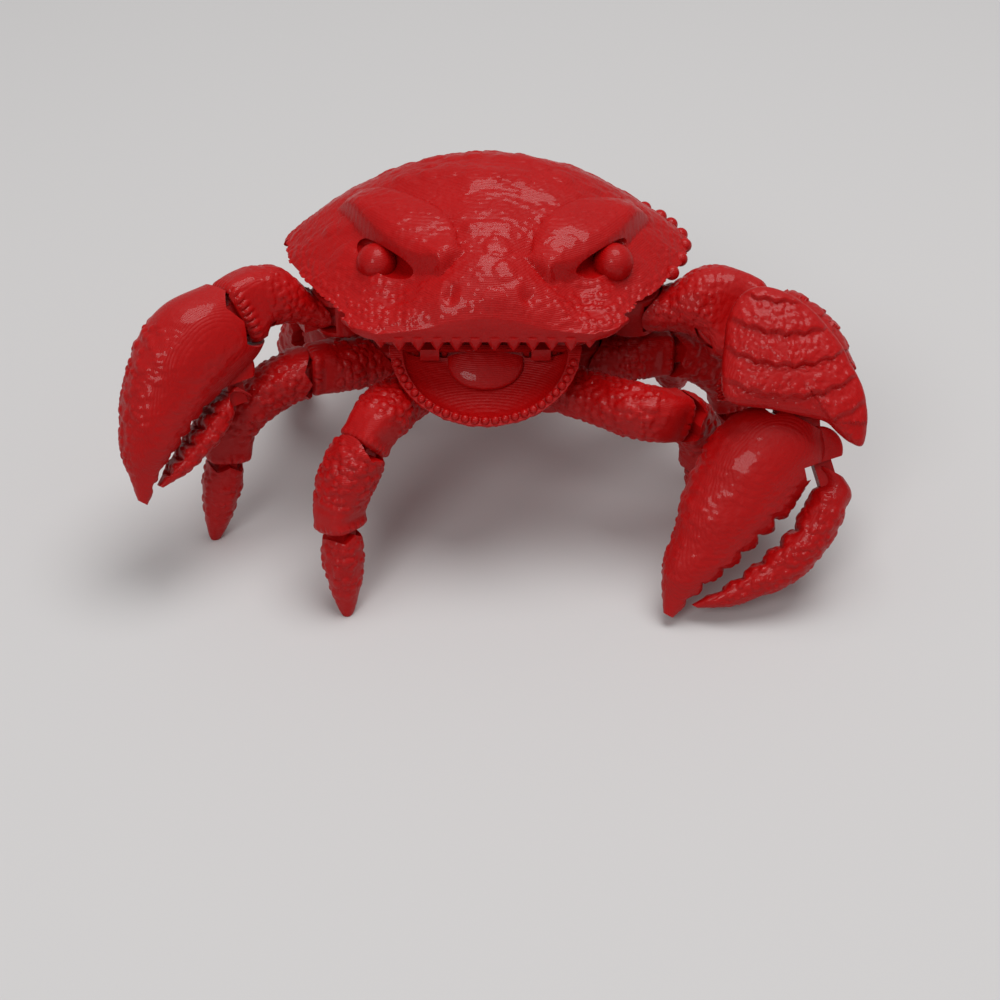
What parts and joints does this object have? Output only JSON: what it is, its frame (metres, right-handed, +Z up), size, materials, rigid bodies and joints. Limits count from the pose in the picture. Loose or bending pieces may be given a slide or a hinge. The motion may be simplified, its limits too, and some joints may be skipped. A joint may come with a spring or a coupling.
{
  "type": "articulated crab figurine",
  "caption": "Crab figurine in printed plastic with a domed shell, hooded eyes, a hinged toothed jaw, claws that open and legs jointed at hip, knee and ankle.",
  "frame": {"origin": "on the floor, under the middle of the figure as posed", "axes": "+X to the right as seen from the front, -Y the way the face looks, +Z up"},
  "size_m": [0.1008, 0.0712, 0.0502],
  "materials": {
    "red_plastic": "glossy, slightly translucent, with fine layer lines"
  },
  "bodies": {
    "body": {"carapace": "red_plastic", "underbody": "red_plastic"},
    "lower_jaw": {"lower_jaw": "red_plastic"},
    "left_leg_1_upper": {"left_leg_1_upper": "red_plastic"},
    "left_leg_1_middle": {"left_leg_1_middle": "red_plastic"},
    "left_leg_1_tip": {"left_leg_1_tip": "red_plastic"},
    "left_leg_2_upper": {"left_leg_2_upper": "red_plastic"},
    "left_leg_2_middle": {"left_leg_2_middle": "red_plastic"},
    "left_leg_2_tip": {"left_leg_2_tip": "red_plastic"},
    "left_leg_3_upper": {"left_leg_3_upper": "red_plastic"},
    "left_leg_3_middle": {"left_leg_3_middle": "red_plastic"},
    "left_leg_3_tip": {"left_leg_3_tip": "red_plastic"},
    "left_leg_4_upper": {"left_leg_4_upper": "red_plastic"},
    "left_leg_4_middle": {"left_leg_4_middle": "red_plastic"},
    "left_leg_4_tip": {"left_leg_4_tip": "red_plastic"},
    "right_leg_1_upper": {"right_leg_1_upper": "red_plastic"},
    "right_leg_1_middle": {"right_leg_1_middle": "red_plastic"},
    "right_leg_1_tip": {"right_leg_1_tip": "red_plastic"},
    "right_leg_2_upper": {"right_leg_2_upper": "red_plastic"},
    "right_leg_2_middle": {"right_leg_2_middle": "red_plastic"},
    "right_leg_2_tip": {"right_leg_2_tip": "red_plastic"},
    "right_leg_3_upper": {"right_leg_3_upper": "red_plastic"},
    "right_leg_3_middle": {"right_leg_3_middle": "red_plastic"},
    "right_leg_3_tip": {"right_leg_3_tip": "red_plastic"},
    "right_leg_4_upper": {"right_leg_4_upper": "red_plastic"},
    "right_leg_4_middle": {"right_leg_4_middle": "red_plastic"},
    "right_leg_4_tip": {"right_leg_4_tip": "red_plastic"},
    "left_arm_upper": {"left_arm_upper": "red_plastic"},
    "left_claw_palm": {"left_claw_palm": "red_plastic"},
    "left_claw_finger": {"left_claw_finger": "red_plastic"},
    "right_arm_upper": {"right_arm_upper": "red_plastic"},
    "right_arm_forearm": {"right_arm_forearm": "red_plastic"},
    "right_claw_palm": {"right_claw_palm": "red_plastic"},
    "right_claw_finger": {"right_claw_finger": "red_plastic"}
  },
  "joints": [
    {"name": "jaw_hinge", "type": "hinge", "parent": "body", "child": "lower_jaw", "pos_m": [-0.00131, -0.0114, 0.0316], "axis": [1, 0, 0], "range_deg": [-20, 1]},
    {"name": "left_leg_1_hip", "type": "hinge", "parent": "body", "child": "left_leg_1_upper", "pos_m": [-0.01031, -0.0097, 0.0229], "axis": [0, 0, 1], "range_deg": [-16, 0]},
    {"name": "left_leg_1_knee", "type": "hinge", "parent": "left_leg_1_upper", "child": "left_leg_1_middle", "pos_m": [-0.01714, -0.02282, 0.02347], "axis": [0.809, -0.5878, 0], "range_deg": [-22, 22]},
    {"name": "left_leg_1_ankle", "type": "hinge", "parent": "left_leg_1_middle", "child": "left_leg_1_tip", "pos_m": [-0.02122, -0.02843, 0.01392], "axis": [0.8189, -0.5346, 0.209], "range_deg": [-22, 22]},
    {"name": "left_leg_2_hip", "type": "hinge", "parent": "body", "child": "left_leg_2_upper", "pos_m": [-0.01431, -0.0027, 0.0229], "axis": [0, 0, 1], "range_deg": [-12, 12]},
    {"name": "left_leg_2_knee", "type": "hinge", "parent": "left_leg_2_upper", "child": "left_leg_2_middle", "pos_m": [-0.02503, -0.00747, 0.02413], "axis": [0.4226, -0.9063, 0], "range_deg": [-3, 22]},
    {"name": "left_leg_2_ankle", "type": "hinge", "parent": "left_leg_2_middle", "child": "left_leg_2_tip", "pos_m": [-0.03825, -0.01364, 0.01502], "axis": [0.4351, -0.8983, 0.0609], "range_deg": [-22, 22]},
    {"name": "left_leg_3_hip", "type": "hinge", "parent": "body", "child": "left_leg_3_upper", "pos_m": [-0.01531, 0.0067, 0.0229], "axis": [0, 0, 1], "range_deg": [-12, 12]},
    {"name": "left_leg_3_knee", "type": "hinge", "parent": "left_leg_3_upper", "child": "left_leg_3_middle", "pos_m": [-0.02567, 0.0067, 0.02199], "axis": [-0.848, -0.5299, 0], "range_deg": [-22, 22]},
    {"name": "left_leg_3_ankle", "type": "hinge", "parent": "left_leg_3_middle", "child": "left_leg_3_tip", "pos_m": [-0.03024, 0.014, 0.01173], "axis": [-0.8981, -0.3897, -0.2038], "range_deg": [-22, 22]},
    {"name": "left_leg_4_hip", "type": "hinge", "parent": "body", "child": "left_leg_4_upper", "pos_m": [-0.01071, 0.0151, 0.0229], "axis": [0, 0, 1], "range_deg": [-16, 16]},
    {"name": "left_leg_4_knee", "type": "hinge", "parent": "left_leg_4_upper", "child": "left_leg_4_middle", "pos_m": [-0.01501, 0.02476, 0.02364], "axis": [-0.9511, -0.309, 0], "range_deg": [-22, 22]},
    {"name": "left_leg_4_ankle", "type": "hinge", "parent": "left_leg_4_middle", "child": "left_leg_4_tip", "pos_m": [-0.01708, 0.03111, 0.01295], "axis": [-0.9536, -0.2988, -0.0369], "range_deg": [-22, 22]},
    {"name": "right_leg_1_hip", "type": "hinge", "parent": "body", "child": "right_leg_1_upper", "pos_m": [0.00769, -0.0097, 0.0229], "axis": [0, 0, 1], "range_deg": [-3, 3]},
    {"name": "right_leg_1_knee", "type": "hinge", "parent": "right_leg_1_upper", "child": "right_leg_1_middle", "pos_m": [0.02446, -0.01648, 0.02227], "axis": [-0.5878, 0.809, 0], "range_deg": [-8, 22]},
    {"name": "right_leg_1_ankle", "type": "hinge", "parent": "right_leg_1_middle", "child": "right_leg_1_tip", "pos_m": [0.03007, -0.0124, 0.01272], "axis": [-0.593, 0.8041, 0.0414], "range_deg": [-22, 22]},
    {"name": "right_leg_2_hip", "type": "hinge", "parent": "body", "child": "right_leg_2_upper", "pos_m": [0.01169, -0.0027, 0.0229], "axis": [0, 0, 1], "range_deg": [-4, 2]},
    {"name": "right_leg_2_knee", "type": "hinge", "parent": "right_leg_2_upper", "child": "right_leg_2_middle", "pos_m": [0.02345, -0.00229, 0.02372], "axis": [-0.2079, 0.9781, 0], "range_deg": [-12, 22]},
    {"name": "right_leg_2_ankle", "type": "hinge", "parent": "right_leg_2_middle", "child": "right_leg_2_tip", "pos_m": [0.03501, 0.00017, 0.01449], "axis": [-0.2069, 0.9783, -0.006], "range_deg": [-22, 22]},
    {"name": "right_leg_3_hip", "type": "hinge", "parent": "body", "child": "right_leg_3_upper", "pos_m": [0.01269, 0.0067, 0.0229], "axis": [0, 0, 1], "range_deg": [-2, 16]},
    {"name": "right_leg_3_knee", "type": "hinge", "parent": "right_leg_3_upper", "child": "right_leg_3_middle", "pos_m": [0.02305, 0.0067, 0.02199], "axis": [-0.848, 0.5299, 0], "range_deg": [-22, 22]},
    {"name": "right_leg_3_ankle", "type": "hinge", "parent": "right_leg_3_middle", "child": "right_leg_3_tip", "pos_m": [0.02761, 0.014, 0.01173], "axis": [-0.8981, 0.3897, 0.2038], "range_deg": [-22, 22]},
    {"name": "right_leg_4_hip", "type": "hinge", "parent": "body", "child": "right_leg_4_upper", "pos_m": [0.00809, 0.0151, 0.0229], "axis": [0, 0, 1], "range_deg": [-16, 16]},
    {"name": "right_leg_4_knee", "type": "hinge", "parent": "right_leg_4_upper", "child": "right_leg_4_middle", "pos_m": [0.01239, 0.02476, 0.02364], "axis": [-0.9511, 0.309, 0], "range_deg": [-22, 22]},
    {"name": "right_leg_4_ankle", "type": "hinge", "parent": "right_leg_4_middle", "child": "right_leg_4_tip", "pos_m": [0.01445, 0.03111, 0.01295], "axis": [-0.9536, 0.2988, 0.0369], "range_deg": [-22, 22]},
    {"name": "left_arm_shoulder", "type": "hinge", "parent": "body", "child": "left_arm_upper", "pos_m": [-0.02191, -0.0035, 0.032], "axis": [0, 0, 1], "range_deg": [-14, 14]},
    {"name": "left_claw", "type": "hinge", "parent": "left_claw_palm", "child": "left_claw_finger", "pos_m": [-0.03703, -0.01501, 0.02916], "axis": [0.5706, -0.7395, 0.3572], "range_deg": [-1, 16]},
    {"name": "left_wrist", "type": "hinge", "parent": "left_arm_upper", "child": "left_claw_palm", "pos_m": [-0.03431, -0.0097, 0.0358], "axis": [0.5706, -0.7395, 0.3572], "range_deg": [-18, 3]},
    {"name": "right_arm_shoulder", "type": "hinge", "parent": "body", "child": "right_arm_upper", "pos_m": [0.01929, -0.0035, 0.032], "axis": [0, 0, 1], "range_deg": [-5, 14]},
    {"name": "right_claw", "type": "hinge", "parent": "right_claw_palm", "child": "right_claw_finger", "pos_m": [0.04414, -0.02222, 0.02065], "axis": [-0.0216, -0.816, 0.5777], "range_deg": [-1, 20]},
    {"name": "right_elbow", "type": "hinge", "parent": "right_arm_upper", "child": "right_arm_forearm", "pos_m": [0.03289, -0.0059, 0.032], "axis": [-0.0216, -0.816, 0.5777], "range_deg": [-2, 18]},
    {"name": "right_wrist", "type": "hinge", "parent": "right_arm_forearm", "child": "right_claw_palm", "pos_m": [0.04109, -0.0163, 0.0289], "axis": [-0.0216, -0.816, 0.5777], "range_deg": [-2, 18]}
  ]
}
